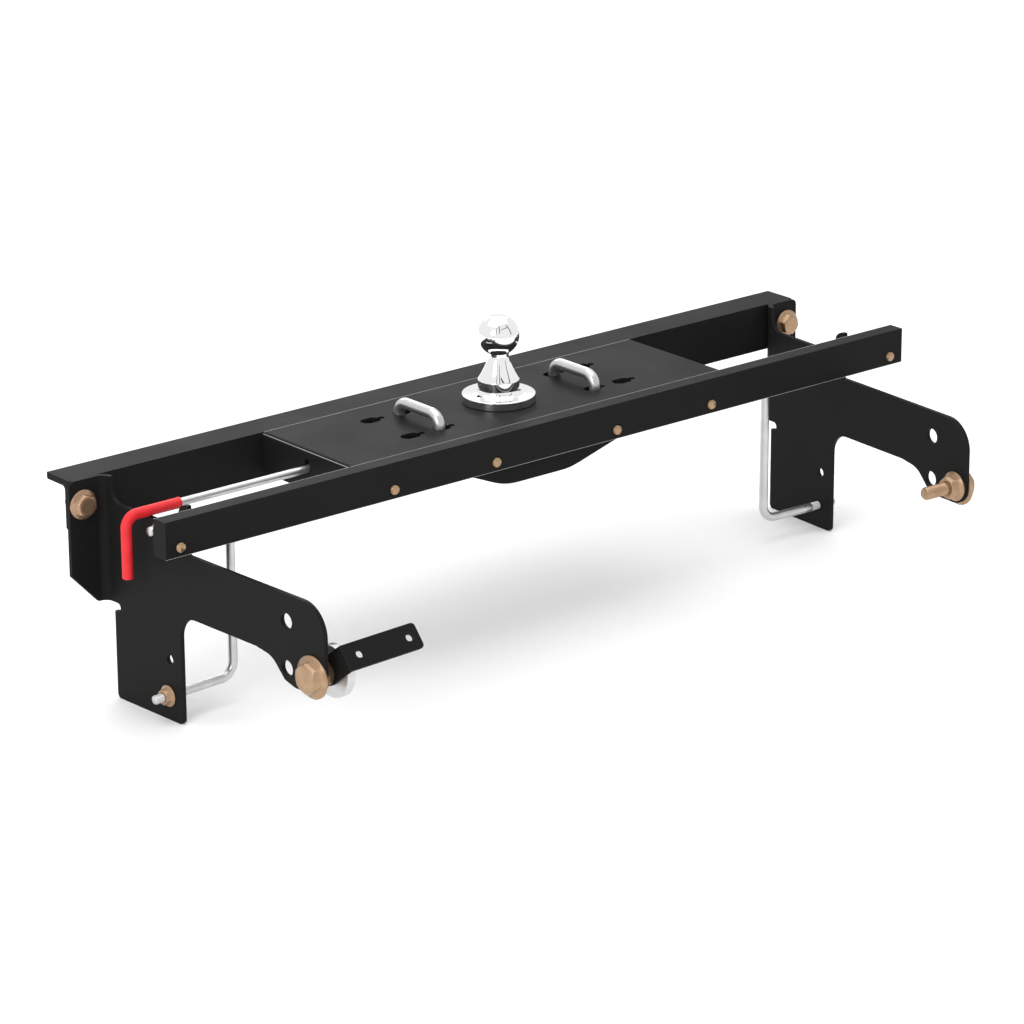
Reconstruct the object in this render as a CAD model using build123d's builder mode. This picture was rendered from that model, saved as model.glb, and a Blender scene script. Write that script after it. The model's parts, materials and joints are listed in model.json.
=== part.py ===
from build123d import *
import math
import os

os.makedirs("parts", exist_ok=True)

# Origin: the ball axis meets the top face of the head plate. +Y is rearward, +X is to the right.

# ---- shared sizes ----
slide_gap = 0.4                 # clearance of a rod that slides through plate
bolt_gap = 0.8                  # clearance of a bolt in its hole
run_gap = 0.05                  # radial running clearance of the ball shank

# ---- head ----
head_half_length = 333.0
head_half_depth = 101.0
head_t = 6.35
head_wall_bottom = -57.0
head_bend_mid = 4.0             # bend radius at the middle of the sheet
head_corner_r = 10.0
belly_low = -81.5               # lowest edge of the front and rear walls
belly_flat_left = 72.0
belly_flat_right = 44.0
belly_reach = 131.0

# ---- front bar and rear angle ----
bar_half_length = 655.5
bar_t = 25.4
bar_top = 4.0
bar_height = 51.0
angle_half_length = 648.5
angle_t = 9.5
angle_flange = 51.0
angle_height = 69.0
angle_root_r = 6.0

# ---- truck frame brackets ----
plate_t = 6.35
plate_offset = 593.0            # outer face from the ball axis at y = 0
toe_deg = 3.1
leg_back = -79.0
leg_front = 59.3
leg_bottom = -311.0
arm_under = -155.6
arm_top = -68.4
arm_knee_r = 32.0
nose_front = 349.7
nose_bottom = -191.5
nose_step_back = 291.0
nose_step_top = -187.0
nose_heel = 214.0
nose_top_r = 43.0
nose_low_r = 24.0
shoulder_top = -34.8
flange_reach = 652.6
flange_low = -175.0
flange_chamfer_x = 41.0
flange_chamfer_z = 43.0
flange_corner_r = 9.0
front_flange_low = -46.0
front_flange_top = -4.0
front_corner_r = 16.0
bend_mid_r = 15.0
bend_start = 82.0
relief_height = 12.0
relief_depth = 15.0

# ---- bolts that hold the cross members ----
bolt_d = 14.0
bolt_head_af = 22.0
bolt_head_h = 9.0
bolt_flange_d = 31.0
bolt_flange_t = 2.5
bolt_tip = 3.0
end_head_af = 27.0
end_head_h = 13.0
end_flange_d = 41.0
bolt_z = -34.0
end_bolt_x = 632.0
outer_bolt_x = 283.4
inner_bolt_x = 107.8

# ---- holes in the bracket plates, forward distance and height ----
nose_hole_s = 276.0
nose_hole_z = -105.2
nose_hole_low_z = -169.0
nose_hole_d = 22.0
leg_hole_s = 35.0
leg_hole_z = -225.1
leg_hole_d = 14.0

# ---- U-bolts round the truck frame ----
u_rod_d = 12.7
u_rod_x = 482.5
u_rod_s = 30.0
u_top_z = -42.5
u_low_z = -277.5
u_bend_r = 21.0
u_tip = 24.0

# ---- arm bolts ----
arm_bolt_s = 327.0
arm_bolt_z = -166.4
arm_bolt_d = 19.05
arm_bolt_head_af = 37.0
arm_bolt_head_h = 15.0
arm_bolt_flange_d = 58.0
arm_bolt_flange_t = 4.0
arm_nut_af = 28.6
arm_nut_h = 17.0
arm_nut_flange_d = 43.0
arm_nut_flange_t = 3.5
arm_bolt_reach = 58.0
washer_d = 71.0
washer_t = 13.0
strap_t = 4.8
strap_w = 36.0
strap_drop = 43.0
strap_length = 125.0
strap_tilt = 39.0
strap_corner_r = 6.0
strap_hole_w = 9.5
strap_hole_long = 12.5
strap_hole_near = 25.0
strap_hole_gap = 84.0

# ---- ball ----
ball_r = 29.35
ball_z = 95.75
ball_flat_d = 29.0
ball_neck_d = 28.5
ball_neck_low = 66.5
bell_d = 58.0
bell_top = 33.0
ring_d = 102.7
ring_t = 12.5
shank_d = 60.0
shank_low = -84.0
nose_d = 40.0
shank_nose_z = -113.0
groove_root_d = 44.0
groove_half = 9.0
groove_z = -27.0

# ---- ball receiver, ribs and tray ----
receiver_d = 90.0
rib_x = 188.0
rib_t = 6.35
tray_t = 5.0
tray_lift = 2.0                 # tray above the lower edge of the walls
tray_bend_r = 60.0

# ---- lock rod ----
rod_d = 11.0
rod_z = -26.5
pin_d = 16.0
pin_tip_x = -23.5
pin_back_x = -110.0
rod_collar_d = 24.0
rod_collar_t = 6.0
rod_bend_r = 17.0
rod_drop_x = -629.0
rod_low_z = -113.0
grip_d = 15.5
grip_start_x = -543.0

# ---- safety chain loops ----
loop_rod_d = 15.9
loop_x = 139.0
loop_y_rear = 46.0
loop_y_front = -42.0
loop_top = 25.5
loop_bend_r = 17.0
loop_low = -46.5
loop_side_gap = 2.05            # loop rod to the sides of its slot
loop_end_gap = 1.05             # loop rod to the outer end of its slot
loop_slot_long = 26.0
outer_slot_long = 30.0
outer_slot_x = 189.0
slot_eye_d = 9.0
slot_eye_out = 4.0
loop_washer_d = 32.0
loop_washer_t = 2.5
loop_nut_af = 24.0
loop_nut_t = 7.0
spring_wire = 2.6
spring_d = 26.0
spring_turns = 3.5

# ---- values worked out from the sizes above ----
toe = math.radians(toe_deg)
out_x = math.cos(toe)
out_y = math.sin(toe)
bar_back = -head_half_depth
bar_front = bar_back - bar_t
bar_mid_z = bar_top - bar_height / 2
angle_front = head_half_depth
rib_cross = 2 * (head_half_depth - head_t)
wall_half = head_half_length - head_t
tray_end_z = head_wall_bottom + tray_lift + tray_t
slot_w = loop_rod_d + 2 * loop_side_gap
loop_slot_x = loop_x + loop_rod_d / 2 + loop_end_gap - loop_slot_long / 2
loop_seat = loop_low + 3.0 + loop_nut_t
spring_low = loop_seat + loop_washer_t
# outer faces of the plates: local x runs forward, local y up, local z outward
left_outer = Plane(origin=(-plate_offset, 0, 0), x_dir=(out_y, -out_x, 0), z_dir=(-out_x, -out_y, 0))
front_face = Plane(origin=(0, bar_front, 0), x_dir=(1, 0, 0), z_dir=(0, -1, 0))
across = Plane(origin=(0, 0, 0), x_dir=(1, 0, 0), z_dir=(0, -1, 0))
side_on = Plane(origin=(0, 0, 0), x_dir=(0, 1, 0), z_dir=(1, 0, 0))


def plateFrame(s, z, outward=0.0):
    """A plane on the left plate's outer face at a given forward distance and height."""
    point = left_outer.from_local_coords(Vector(s, z, outward))
    return Plane(origin=point, x_dir=left_outer.x_dir, z_dir=left_outer.z_dir)


def corner(sketch, s, z):
    """The sketch corner nearest to a point."""
    return sketch.vertices().sort_by_distance((s, z, 0))[0]


# ================= brackets =================
flange_mid_y = head_half_depth - plate_t / 2
sheet_mid = plate_offset - plate_t / 2 / out_x
rear_corner_x = -(sheet_mid + flange_mid_y * math.tan(toe))
front_corner_x = -(sheet_mid - flange_mid_y * math.tan(toe))
rear_start_x = -(sheet_mid + leg_front * math.tan(toe))
front_start_x = -(sheet_mid - leg_front * math.tan(toe))

with BuildPart() as bracket_left:
    with BuildSketch(left_outer) as outline:
        with BuildLine():
            Polyline(
                (-bend_start, 0), (bend_start, 0), (bend_start, arm_top), (nose_front, arm_top),
                (nose_front, nose_bottom), (nose_step_back, nose_bottom),
                (nose_step_back - 20, nose_step_top + 1), (nose_heel + 32, arm_under - 5),
                (nose_heel, arm_under), (leg_front, arm_under), (leg_front, leg_bottom),
                (leg_back, leg_bottom), (leg_back, flange_low), (-bend_start, flange_low),
                close=True,
            )
        make_face()
        fillet(corner(outline, nose_front, arm_top), nose_top_r)
        fillet(corner(outline, nose_front, nose_bottom), nose_low_r)
        fillet(corner(outline, nose_step_back, nose_bottom), 10)
        fillet(corner(outline, nose_step_back - 20, nose_step_top), 9)
        fillet(corner(outline, nose_heel + 32, arm_under - 5), 34)
        fillet(corner(outline, nose_heel, arm_under), 14)
        fillet(corner(outline, leg_front, arm_under), arm_knee_r)
        fillet(corner(outline, leg_front, leg_bottom), 7)
        fillet(corner(outline, leg_back, leg_bottom), 7)
    extrude(amount=-plate_t)
    with BuildSketch(Plane.XY.offset(flange_low)):
        with BuildLine():
            FilletPolyline(
                (rear_start_x, leg_front), (rear_corner_x, flange_mid_y), (-flange_reach, flange_mid_y),
                radius=bend_mid_r,
            )
        trace(line_width=plate_t)
    extrude(amount=-flange_low)
    with BuildSketch(Plane.XY.offset(front_flange_low)):
        with BuildLine():
            FilletPolyline(
                (front_start_x, -leg_front), (front_corner_x, -flange_mid_y), (-flange_reach, -flange_mid_y),
                radius=bend_mid_r,
            )
        trace(line_width=plate_t)
    extrude(amount=front_flange_top - front_flange_low)
    # open top of the shoulder between the two bends
    with BuildSketch(left_outer) as window:
        with Locations(((leg_front + 3 - bend_start) / 2, 0)):
            Rectangle(bend_start + leg_front + 3, -2 * shoulder_top)
        fillet(corner(window, -bend_start, shoulder_top), 20)
        fillet(corner(window, leg_front + 3, shoulder_top), 12)
    extrude(amount=2 * plate_t, both=True, mode=Mode.SUBTRACT)
    shoulder_corner = plateFrame(leg_front + 3, 0, -plate_t / 2).origin
    upright = bracket_left.edges().filter_by(lambda edge: abs((edge % 0).Z) < 0.01)
    fillet(upright.sort_by_distance(shoulder_corner)[0], front_corner_r)
    # bend reliefs
    with BuildSketch(left_outer):
        with Locations((-bend_start + relief_depth - 20, flange_low - relief_height / 2)):
            SlotOverall(40, relief_height)
        with Locations((bend_start + 6, (front_flange_low + arm_top) / 2)):
            SlotOverall(30, front_flange_low - arm_top)
    extrude(amount=2.2 * plate_t, both=True, mode=Mode.SUBTRACT)
    # outer corners of the rear flange
    crosswise = bracket_left.edges().filter_by(Axis.Y)
    low_edges = crosswise.sort_by_distance((-flange_reach, flange_mid_y, flange_low))
    chamfer(low_edges[0], length=flange_chamfer_z, length2=flange_chamfer_x)
    top_edges = bracket_left.edges().filter_by(Axis.Y).sort_by_distance((-flange_reach, flange_mid_y, 0))
    fillet(top_edges[0], flange_corner_r)
    front_edges = bracket_left.edges().filter_by(Axis.Y).sort_by_distance((-flange_reach, -flange_mid_y, 0))
    fillet(front_edges[0], flange_corner_r)
    # holes through the plate
    with BuildSketch(left_outer):
        with Locations((nose_hole_s, nose_hole_z), (nose_hole_s, nose_hole_low_z)):
            Circle(nose_hole_d / 2)
        with Locations((leg_hole_s, leg_hole_z)):
            Circle(leg_hole_d / 2)
        with Locations((u_rod_s, u_top_z), (u_rod_s, u_low_z)):
            Circle(u_rod_d / 2 + bolt_gap)
        with Locations((arm_bolt_s, arm_bolt_z)):
            Circle(arm_bolt_d / 2 + bolt_gap)
    extrude(amount=2 * plate_t, both=True, mode=Mode.SUBTRACT)
    # holes through both flanges
    with BuildSketch(across):
        with Locations((-end_bolt_x, bolt_z)):
            Circle(bolt_d / 2 + bolt_gap)
    extrude(amount=2 * head_half_depth, both=True, mode=Mode.SUBTRACT)

with BuildPart() as bracket_right:
    add(mirror(bracket_left.part, about=Plane.YZ))

# ================= cross members =================
bolt_columns = (-end_bolt_x, -outer_bolt_x, -inner_bolt_x, inner_bolt_x, outer_bolt_x, end_bolt_x)

with BuildPart() as front_bar:
    with Locations((0, bar_back - bar_t / 2, bar_mid_z)):
        Box(2 * bar_half_length, bar_t, bar_height)
    fillet(front_bar.edges().filter_by(Axis.X), 1.2)
    with BuildSketch(front_face):
        with Locations(*[(x, bolt_z) for x in bolt_columns]):
            Circle(bolt_d / 2 + bolt_gap)
    extrude(amount=-bar_t, mode=Mode.SUBTRACT)

with BuildPart() as rear_angle:
    with BuildSketch(side_on) as angle_profile:
        with BuildLine():
            Polyline(
                (angle_front, 0), (angle_front + angle_flange, 0), (angle_front + angle_flange, -angle_t),
                (angle_front + angle_t, -angle_t), (angle_front + angle_t, -angle_height),
                (angle_front, -angle_height), close=True,
            )
        make_face()
        fillet(corner(angle_profile, angle_front + angle_t, -angle_t), angle_root_r)
        fillet(corner(angle_profile, angle_front + angle_flange, -angle_t), 3)
        fillet(corner(angle_profile, angle_front + angle_t, -angle_height), 3)
    extrude(amount=angle_half_length, both=True)
    with BuildSketch(across):
        with Locations(*[(x, bolt_z) for x in bolt_columns]):
            Circle(bolt_d / 2 + bolt_gap)
    extrude(amount=-2 * head_half_depth, mode=Mode.SUBTRACT)

# ================= head =================
loop_slots = [(side * loop_slot_x, y) for side in (-1, 1) for y in (loop_y_front, loop_y_rear)]
outer_slots = [(side * outer_slot_x, y) for side in (-1, 1) for y in (loop_y_front, loop_y_rear)]

with BuildPart() as head_shell:
    # top and end walls, one bent sheet
    with BuildSketch(across):
        with BuildLine():
            FilletPolyline(
                (-head_half_length + head_t / 2, head_wall_bottom),
                (-head_half_length + head_t / 2, -head_t / 2),
                (head_half_length - head_t / 2, -head_t / 2),
                (head_half_length - head_t / 2, head_wall_bottom),
                radius=head_bend_mid,
            )
        trace(line_width=head_t)
    extrude(amount=head_half_depth, both=True)
    end_edges = head_shell.edges().filter_by(Axis.X).group_by(Axis.Z)[0]
    fillet(end_edges, head_corner_r)
    # front and rear walls under the top, deeper at the middle
    with BuildSketch(across.offset(head_half_depth - head_t)) as wall_outline:
        with BuildLine():
            Polyline(
                (-wall_half, -head_t), (wall_half, -head_t), (wall_half, head_wall_bottom),
                (belly_reach, head_wall_bottom), (belly_flat_right, belly_low),
                (-belly_flat_left, belly_low), (-belly_reach, head_wall_bottom),
                (-wall_half, head_wall_bottom), close=True,
            )
        make_face()
        for side in (-1, 1):
            fillet(corner(wall_outline, side * belly_reach, head_wall_bottom), 20)
        fillet(corner(wall_outline, -belly_flat_left, belly_low), 110)
        fillet(corner(wall_outline, belly_flat_right, belly_low), 110)
    extrude(amount=head_t)
    mirror(about=Plane.XZ)
    with BuildSketch(Plane.XY):
        Circle(shank_d / 2 + bolt_gap)
        with Locations(*loop_slots):
            SlotOverall(loop_slot_long, slot_w)
        with Locations(*outer_slots):
            SlotOverall(outer_slot_long, slot_w)
        with Locations(*[(x + loop_slot_long / 2 + slot_eye_out, y) for x, y in loop_slots]):
            Circle(slot_eye_d / 2)
        with Locations(*[(x + outer_slot_long / 2 + slot_eye_out, y) for x, y in outer_slots]):
            Circle(slot_eye_d / 2)
    extrude(amount=-2 * head_t, mode=Mode.SUBTRACT)
    with BuildSketch(across):
        with Locations(*[(x, bolt_z) for x in bolt_columns[1:5]]):
            Circle(bolt_d / 2 + bolt_gap)
    extrude(amount=2 * head_half_depth, both=True, mode=Mode.SUBTRACT)
    # slot for the lock rod in the left end wall
    with BuildSketch(side_on):
        with Locations((0, rod_z + 4)):
            SlotOverall(rod_d + 2 * slide_gap + 9, rod_d + 2 * slide_gap, rotation=90)
    extrude(amount=-2 * head_half_length, mode=Mode.SUBTRACT)

with BuildPart() as cross_ribs:
    with BuildSketch(side_on):
        with Locations((0, (tray_end_z - head_t) / 2)):
            Rectangle(rib_cross, -tray_end_z - head_t)
        with Locations((0, rod_z)):
            Circle(rod_collar_d / 2 + slide_gap, mode=Mode.SUBTRACT)
    extrude(amount=rib_t / 2, both=True)

with BuildPart() as rib_left:
    add(cross_ribs.part.moved(Location((-rib_x, 0, 0))))

with BuildPart() as rib_right:
    add(cross_ribs.part.moved(Location((rib_x, 0, 0))))

with BuildPart() as belly_tray:
    tray_mid = belly_low + tray_lift + tray_t / 2
    tray_side = tray_end_z - tray_t / 2
    with BuildSketch(across):
        with BuildLine():
            FilletPolyline(
                (-rib_x - rib_t / 2, tray_side), (-belly_reach, tray_side), (-belly_flat_left, tray_mid),
                (belly_flat_right, tray_mid), (belly_reach, tray_side), (rib_x + rib_t / 2, tray_side),
                radius=tray_bend_r,
            )
        trace(line_width=tray_t)
    extrude(amount=head_half_depth - head_t, both=True)
    with BuildSketch(Plane.XY):
        Circle(receiver_d / 2)
    extrude(amount=2 * belly_low, mode=Mode.SUBTRACT)

with BuildPart() as ball_receiver:
    with BuildSketch(Plane.XY.offset(-head_t)):
        Circle(receiver_d / 2)
        Circle(shank_d / 2 + run_gap, mode=Mode.SUBTRACT)
    extrude(amount=belly_low + head_t)
    with BuildSketch(side_on):
        with Locations((0, rod_z)):
            Circle(pin_d / 2 + slide_gap)
    extrude(amount=-receiver_d, mode=Mode.SUBTRACT)

# ================= ball =================
with BuildPart() as hitch_ball:
    with BuildSketch(Plane.XZ):
        with BuildLine():
            flat_z = ball_z + math.sqrt(ball_r ** 2 - (ball_flat_d / 2) ** 2)
            neck_z = ball_z - math.sqrt(ball_r ** 2 - (ball_neck_d / 2) ** 2)
            Line((0, shank_nose_z), (nose_d / 2 - 3, shank_nose_z))
            Line((nose_d / 2 - 3, shank_nose_z), (nose_d / 2, shank_nose_z + 3))
            Line((nose_d / 2, shank_nose_z + 3), (nose_d / 2, shank_low - 10))
            Line((nose_d / 2, shank_low - 10), (shank_d / 2, shank_low))
            Line((shank_d / 2, shank_low), (shank_d / 2, groove_z - groove_half - 5))
            Line((shank_d / 2, groove_z - groove_half - 5), (groove_root_d / 2, groove_z - groove_half))
            Line((groove_root_d / 2, groove_z - groove_half), (groove_root_d / 2, groove_z + groove_half))
            Line((groove_root_d / 2, groove_z + groove_half), (shank_d / 2, groove_z + groove_half + 5))
            Line((shank_d / 2, groove_z + groove_half + 5), (shank_d / 2, 0))
            Line((shank_d / 2, 0), (ring_d / 2, 0))
            Line((ring_d / 2, 0), (ring_d / 2, ring_t))
            Line((ring_d / 2, ring_t), (bell_d / 2 + 8, ring_t))
            TangentArc((bell_d / 2 + 8, ring_t), (bell_d / 2, ring_t + 8), tangent=(-1, 0))
            Line((bell_d / 2, ring_t + 8), (bell_d / 2, bell_top))
            Spline(
                (bell_d / 2, bell_top), (ball_neck_d / 2 + 5.5, (bell_top + ball_neck_low) / 2 + 5),
                (ball_neck_d / 2, ball_neck_low), tangents=[(-0.55, 0.83), (0, 1)],
            )
            Line((ball_neck_d / 2, ball_neck_low), (ball_neck_d / 2, neck_z))
            ThreePointArc((ball_neck_d / 2, neck_z), (ball_r, ball_z), (ball_flat_d / 2, flat_z))
            Line((ball_flat_d / 2, flat_z), (0, flat_z))
            Line((0, flat_z), (0, shank_nose_z))
        make_face()
    revolve(axis=Axis.Z)
    # pry notch in the ring
    with BuildSketch(Plane.XY.offset(ring_t)):
        with Locations((-(bell_d / 2 + 6), 0)):
            Rectangle(4, 10)
    extrude(amount=-3, mode=Mode.SUBTRACT)

# ================= lock rod =================
with BuildPart() as lock_rod:
    with BuildLine() as rod_path:
        FilletPolyline(
            (pin_back_x + 10, 0, rod_z), (rod_drop_x, 0, rod_z), (rod_drop_x, 0, rod_low_z + 6),
            radius=rod_bend_r,
        )
    with BuildSketch(Plane(origin=(pin_back_x + 10, 0, rod_z), z_dir=(-1, 0, 0))):
        Circle(rod_d / 2)
    sweep(path=rod_path.wires()[0])
    with BuildSketch(Plane(origin=(pin_tip_x, 0, rod_z), z_dir=(-1, 0, 0))):
        Circle(pin_d / 2)
    extrude(amount=pin_tip_x - pin_back_x)
    chamfer(lock_rod.edges().filter_by(GeomType.CIRCLE).sort_by(Axis.X)[-1], 2)

with BuildPart() as rod_collar:
    with BuildSketch(Plane(origin=(pin_back_x, 0, rod_z), z_dir=(-1, 0, 0))):
        Circle(rod_collar_d / 2)
        Circle(rod_d / 2, mode=Mode.SUBTRACT)
    extrude(amount=rod_collar_t)

with BuildPart() as handle_grip:
    with BuildLine() as grip_path:
        FilletPolyline(
            (grip_start_x, 0, rod_z), (rod_drop_x, 0, rod_z), (rod_drop_x, 0, rod_low_z), radius=rod_bend_r,
        )
    with BuildSketch(Plane(origin=(grip_start_x, 0, rod_z), z_dir=(-1, 0, 0))):
        Circle(grip_d / 2)
    sweep(path=grip_path.wires()[0])
    fillet(handle_grip.edges().filter_by(GeomType.CIRCLE).sort_by(Axis.Z)[0], 2)
    with BuildLine() as core_path:
        FilletPolyline(
            (grip_start_x + 1, 0, rod_z), (rod_drop_x, 0, rod_z), (rod_drop_x, 0, rod_low_z + 6),
            radius=rod_bend_r,
        )
    with BuildSketch(Plane(origin=(grip_start_x + 1, 0, rod_z), z_dir=(-1, 0, 0))):
        Circle(rod_d / 2)
    sweep(path=core_path.wires()[0], mode=Mode.SUBTRACT)

# ================= chain loops =================
loop_mid_top = loop_top - loop_rod_d / 2


def buildLoop(x):
    with BuildPart() as loop:
        with BuildLine() as loop_path:
            FilletPolyline(
                (x, loop_y_front, loop_low), (x, loop_y_front, loop_mid_top),
                (x, loop_y_rear, loop_mid_top), (x, loop_y_rear, loop_low), radius=loop_bend_r,
            )
        with BuildSketch(Plane.XY.offset(loop_low)):
            with Locations((x, loop_y_front)):
                Circle(loop_rod_d / 2)
        sweep(path=loop_path.wires()[0])
    return loop


def buildLoopNuts(x):
    with BuildPart() as nuts:
        with BuildSketch(Plane.XY.offset(loop_low + 3)):
            with Locations((x, loop_y_front), (x, loop_y_rear)):
                RegularPolygon(loop_nut_af / 2, 6, major_radius=False)
                Circle(loop_rod_d / 2, mode=Mode.SUBTRACT)
        extrude(amount=loop_nut_t)
        with BuildSketch(Plane.XY.offset(loop_seat)):
            with Locations((x, loop_y_front), (x, loop_y_rear)):
                Circle(loop_washer_d / 2)
                Circle(loop_rod_d / 2, mode=Mode.SUBTRACT)
        extrude(amount=loop_washer_t)
    return nuts


def buildSprings(x):
    height = -head_t - spring_low - spring_wire - 0.2
    with BuildPart() as springs:
        for y in (loop_y_front, loop_y_rear):
            start = (x, y, spring_low + spring_wire / 2 + 0.1)
            with BuildLine(Plane(origin=start)) as coil:
                Helix(pitch=height / spring_turns, height=height, radius=(spring_d - spring_wire) / 2)
            with BuildSketch(Plane(origin=coil.line @ 0, z_dir=coil.line % 0)):
                Circle(spring_wire / 2)
            sweep(path=coil.line, is_frenet=True)
    return springs


loop_left = buildLoop(-loop_x)
loop_right = buildLoop(loop_x)
loop_nuts_left = buildLoopNuts(-loop_x)
loop_nuts_right = buildLoopNuts(loop_x)
springs_left = buildSprings(-loop_x)
springs_right = buildSprings(loop_x)

# ================= U-bolts =================
u_inner = plate_offset - u_rod_x
u_end = plateFrame(u_rod_s, u_top_z, u_tip)
u_low_end = plateFrame(u_rod_s, u_low_z, u_tip)
u_bend = plateFrame(u_rod_s, u_top_z, -u_inner)
u_low_bend = plateFrame(u_rod_s, u_low_z, -u_inner)

with BuildPart() as u_bolt_left:
    with BuildLine() as u_path:
        FilletPolyline(u_end.origin, u_bend.origin, u_low_bend.origin, u_low_end.origin, radius=u_bend_r)
    with BuildSketch(Plane(origin=u_end.origin, z_dir=(out_x, out_y, 0))):
        Circle(u_rod_d / 2)
    sweep(path=u_path.wires()[0])

with BuildPart() as u_bolt_right:
    add(mirror(u_bolt_left.part, about=Plane.YZ))

u_nut_af = 19.0
u_nut_h = 11.0
u_nut_flange_d = 30.0
u_nut_flange_t = 2.5

with BuildPart() as u_nuts_left:
    with BuildSketch(left_outer):
        with Locations((u_rod_s, u_top_z), (u_rod_s, u_low_z)):
            Circle(u_nut_flange_d / 2)
            Circle(u_rod_d / 2, mode=Mode.SUBTRACT)
    extrude(amount=u_nut_flange_t)
    with BuildSketch(left_outer.offset(u_nut_flange_t)):
        with Locations((u_rod_s, u_top_z), (u_rod_s, u_low_z)):
            RegularPolygon(u_nut_af / 2, 6, major_radius=False)
            Circle(u_rod_d / 2, mode=Mode.SUBTRACT)
    extrude(amount=u_nut_h - u_nut_flange_t)

with BuildPart() as u_nuts_right:
    add(mirror(u_nuts_left.part, about=Plane.YZ))

# ================= arm bolts =================
bolt_frame = plateFrame(arm_bolt_s, arm_bolt_z)
inner_frame = plateFrame(arm_bolt_s, arm_bolt_z, -plate_t)

with BuildPart() as arm_bolt_left:
    with BuildSketch(bolt_frame):
        Circle(arm_bolt_flange_d / 2)
    extrude(amount=arm_bolt_flange_t)
    with BuildSketch(bolt_frame.offset(arm_bolt_flange_t)):
        RegularPolygon(arm_bolt_head_af / 2, 6, major_radius=False)
    extrude(amount=arm_bolt_head_h - arm_bolt_flange_t)
    with BuildSketch(bolt_frame):
        Circle(arm_bolt_d / 2)
    extrude(amount=-plate_t - arm_bolt_reach)

with BuildPart() as arm_bolt_right:
    add(mirror(arm_bolt_left.part, about=Plane.YZ))

with BuildPart() as arm_nut_left:
    with BuildSketch(inner_frame):
        Circle(arm_nut_flange_d / 2)
        Circle(arm_bolt_d / 2, mode=Mode.SUBTRACT)
    extrude(amount=-arm_nut_flange_t)
    with BuildSketch(inner_frame.offset(-arm_nut_flange_t)):
        RegularPolygon(arm_nut_af / 2, 6, major_radius=False)
        Circle(arm_bolt_d / 2, mode=Mode.SUBTRACT)
    extrude(amount=arm_nut_flange_t - arm_nut_h)

with BuildPart() as arm_nut_right:
    add(mirror(arm_nut_left.part, about=Plane.YZ))

with BuildPart() as arm_washer_left:
    with BuildSketch(inner_frame.offset(-arm_nut_h - strap_t)):
        Circle(washer_d / 2)
        Circle(arm_bolt_d / 2, mode=Mode.SUBTRACT)
    extrude(amount=-washer_t)
    chamfer(arm_washer_left.edges().filter_by(GeomType.CIRCLE).sort_by(SortBy.LENGTH)[-2:], 1.5)

# strap: a clamped leg on the bolt, then a long leg running inward
tilt = math.radians(strap_tilt)
tilted = Plane(
    origin=inner_frame.origin, z_dir=inner_frame.z_dir,
    x_dir=inner_frame.x_dir * math.cos(tilt) + inner_frame.y_dir * math.sin(tilt),
)
with BuildPart() as pull_strap:
    with BuildSketch(tilted.offset(-arm_nut_h - strap_t)):
        Circle(strap_w / 2)
        with Locations(((strap_drop + strap_t / 2) / 2, 0)):
            Rectangle(strap_drop + strap_t / 2, strap_w)
    extrude(amount=strap_t)
    long_leg = Plane(
        origin=tilted.from_local_coords(Vector(strap_drop + strap_t / 2, 0, -arm_nut_h)),
        x_dir=-tilted.z_dir, z_dir=tilted.x_dir,
    )
    with BuildSketch(long_leg) as leg_outline:
        with Locations((strap_length / 2, 0)):
            Rectangle(strap_length, strap_w)
        fillet(corner(leg_outline, strap_length, strap_w / 2), strap_corner_r)
        fillet(corner(leg_outline, strap_length, -strap_w / 2), strap_corner_r)
        with Locations((strap_hole_near, 0), (strap_hole_near + strap_hole_gap, 0)):
            SlotOverall(strap_hole_long, strap_hole_w, mode=Mode.SUBTRACT)
    extrude(amount=-strap_t)
    with BuildSketch(inner_frame.offset(-arm_nut_h)):
        Circle(arm_bolt_d / 2)
    extrude(amount=-strap_t, mode=Mode.SUBTRACT)

# ================= cross member bolts =================


def hexBolt(name_points, face, head_out, reach, af=bolt_head_af, height=bolt_head_h, flange_d=bolt_flange_d):
    with BuildPart() as bolts:
        with BuildSketch(face):
            with Locations(*name_points):
                Circle(flange_d / 2)
        extrude(amount=head_out * bolt_flange_t)
        with BuildSketch(face.offset(head_out * bolt_flange_t)):
            with Locations(*name_points):
                RegularPolygon(af / 2, 6, major_radius=False)
        extrude(amount=head_out * (height - bolt_flange_t))
        with BuildSketch(face):
            with Locations(*name_points):
                Circle(bolt_d / 2)
        extrude(amount=-head_out * reach)
        chamfer(bolts.edges().filter_by(GeomType.CIRCLE).group_by(Axis.Y)[0 if head_out < 0 else -1], 1.5)
    return bolts


def hexNut(name_points, face, out):
    with BuildPart() as nuts:
        with BuildSketch(face):
            with Locations(*name_points):
                Circle(bolt_flange_d / 2)
                Circle(bolt_d / 2, mode=Mode.SUBTRACT)
        extrude(amount=out * bolt_flange_t)
        with BuildSketch(face.offset(out * bolt_flange_t)):
            with Locations(*name_points):
                RegularPolygon(bolt_head_af / 2, 6, major_radius=False)
                Circle(bolt_d / 2, mode=Mode.SUBTRACT)
        extrude(amount=out * (bolt_head_h - bolt_flange_t))
    return nuts


head_points = [(x, bolt_z) for x in bolt_columns[1:5]]
end_points = [(bolt_columns[0], bolt_z), (bolt_columns[5], bolt_z)]
wall_inner = head_half_depth - head_t
flange_inner = head_half_depth - plate_t
front_reach = head_t + bar_t + bolt_tip
rear_reach = head_t + angle_t + bolt_head_h + bolt_tip
# planes facing -Y: local z is -Y
front_wall = across.offset(wall_inner)
rear_wall = across.offset(-wall_inner)
front_flange = across.offset(flange_inner)
rear_flange = across.offset(-flange_inner)
angle_rear = across.offset(-head_half_depth - angle_t)

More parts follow.
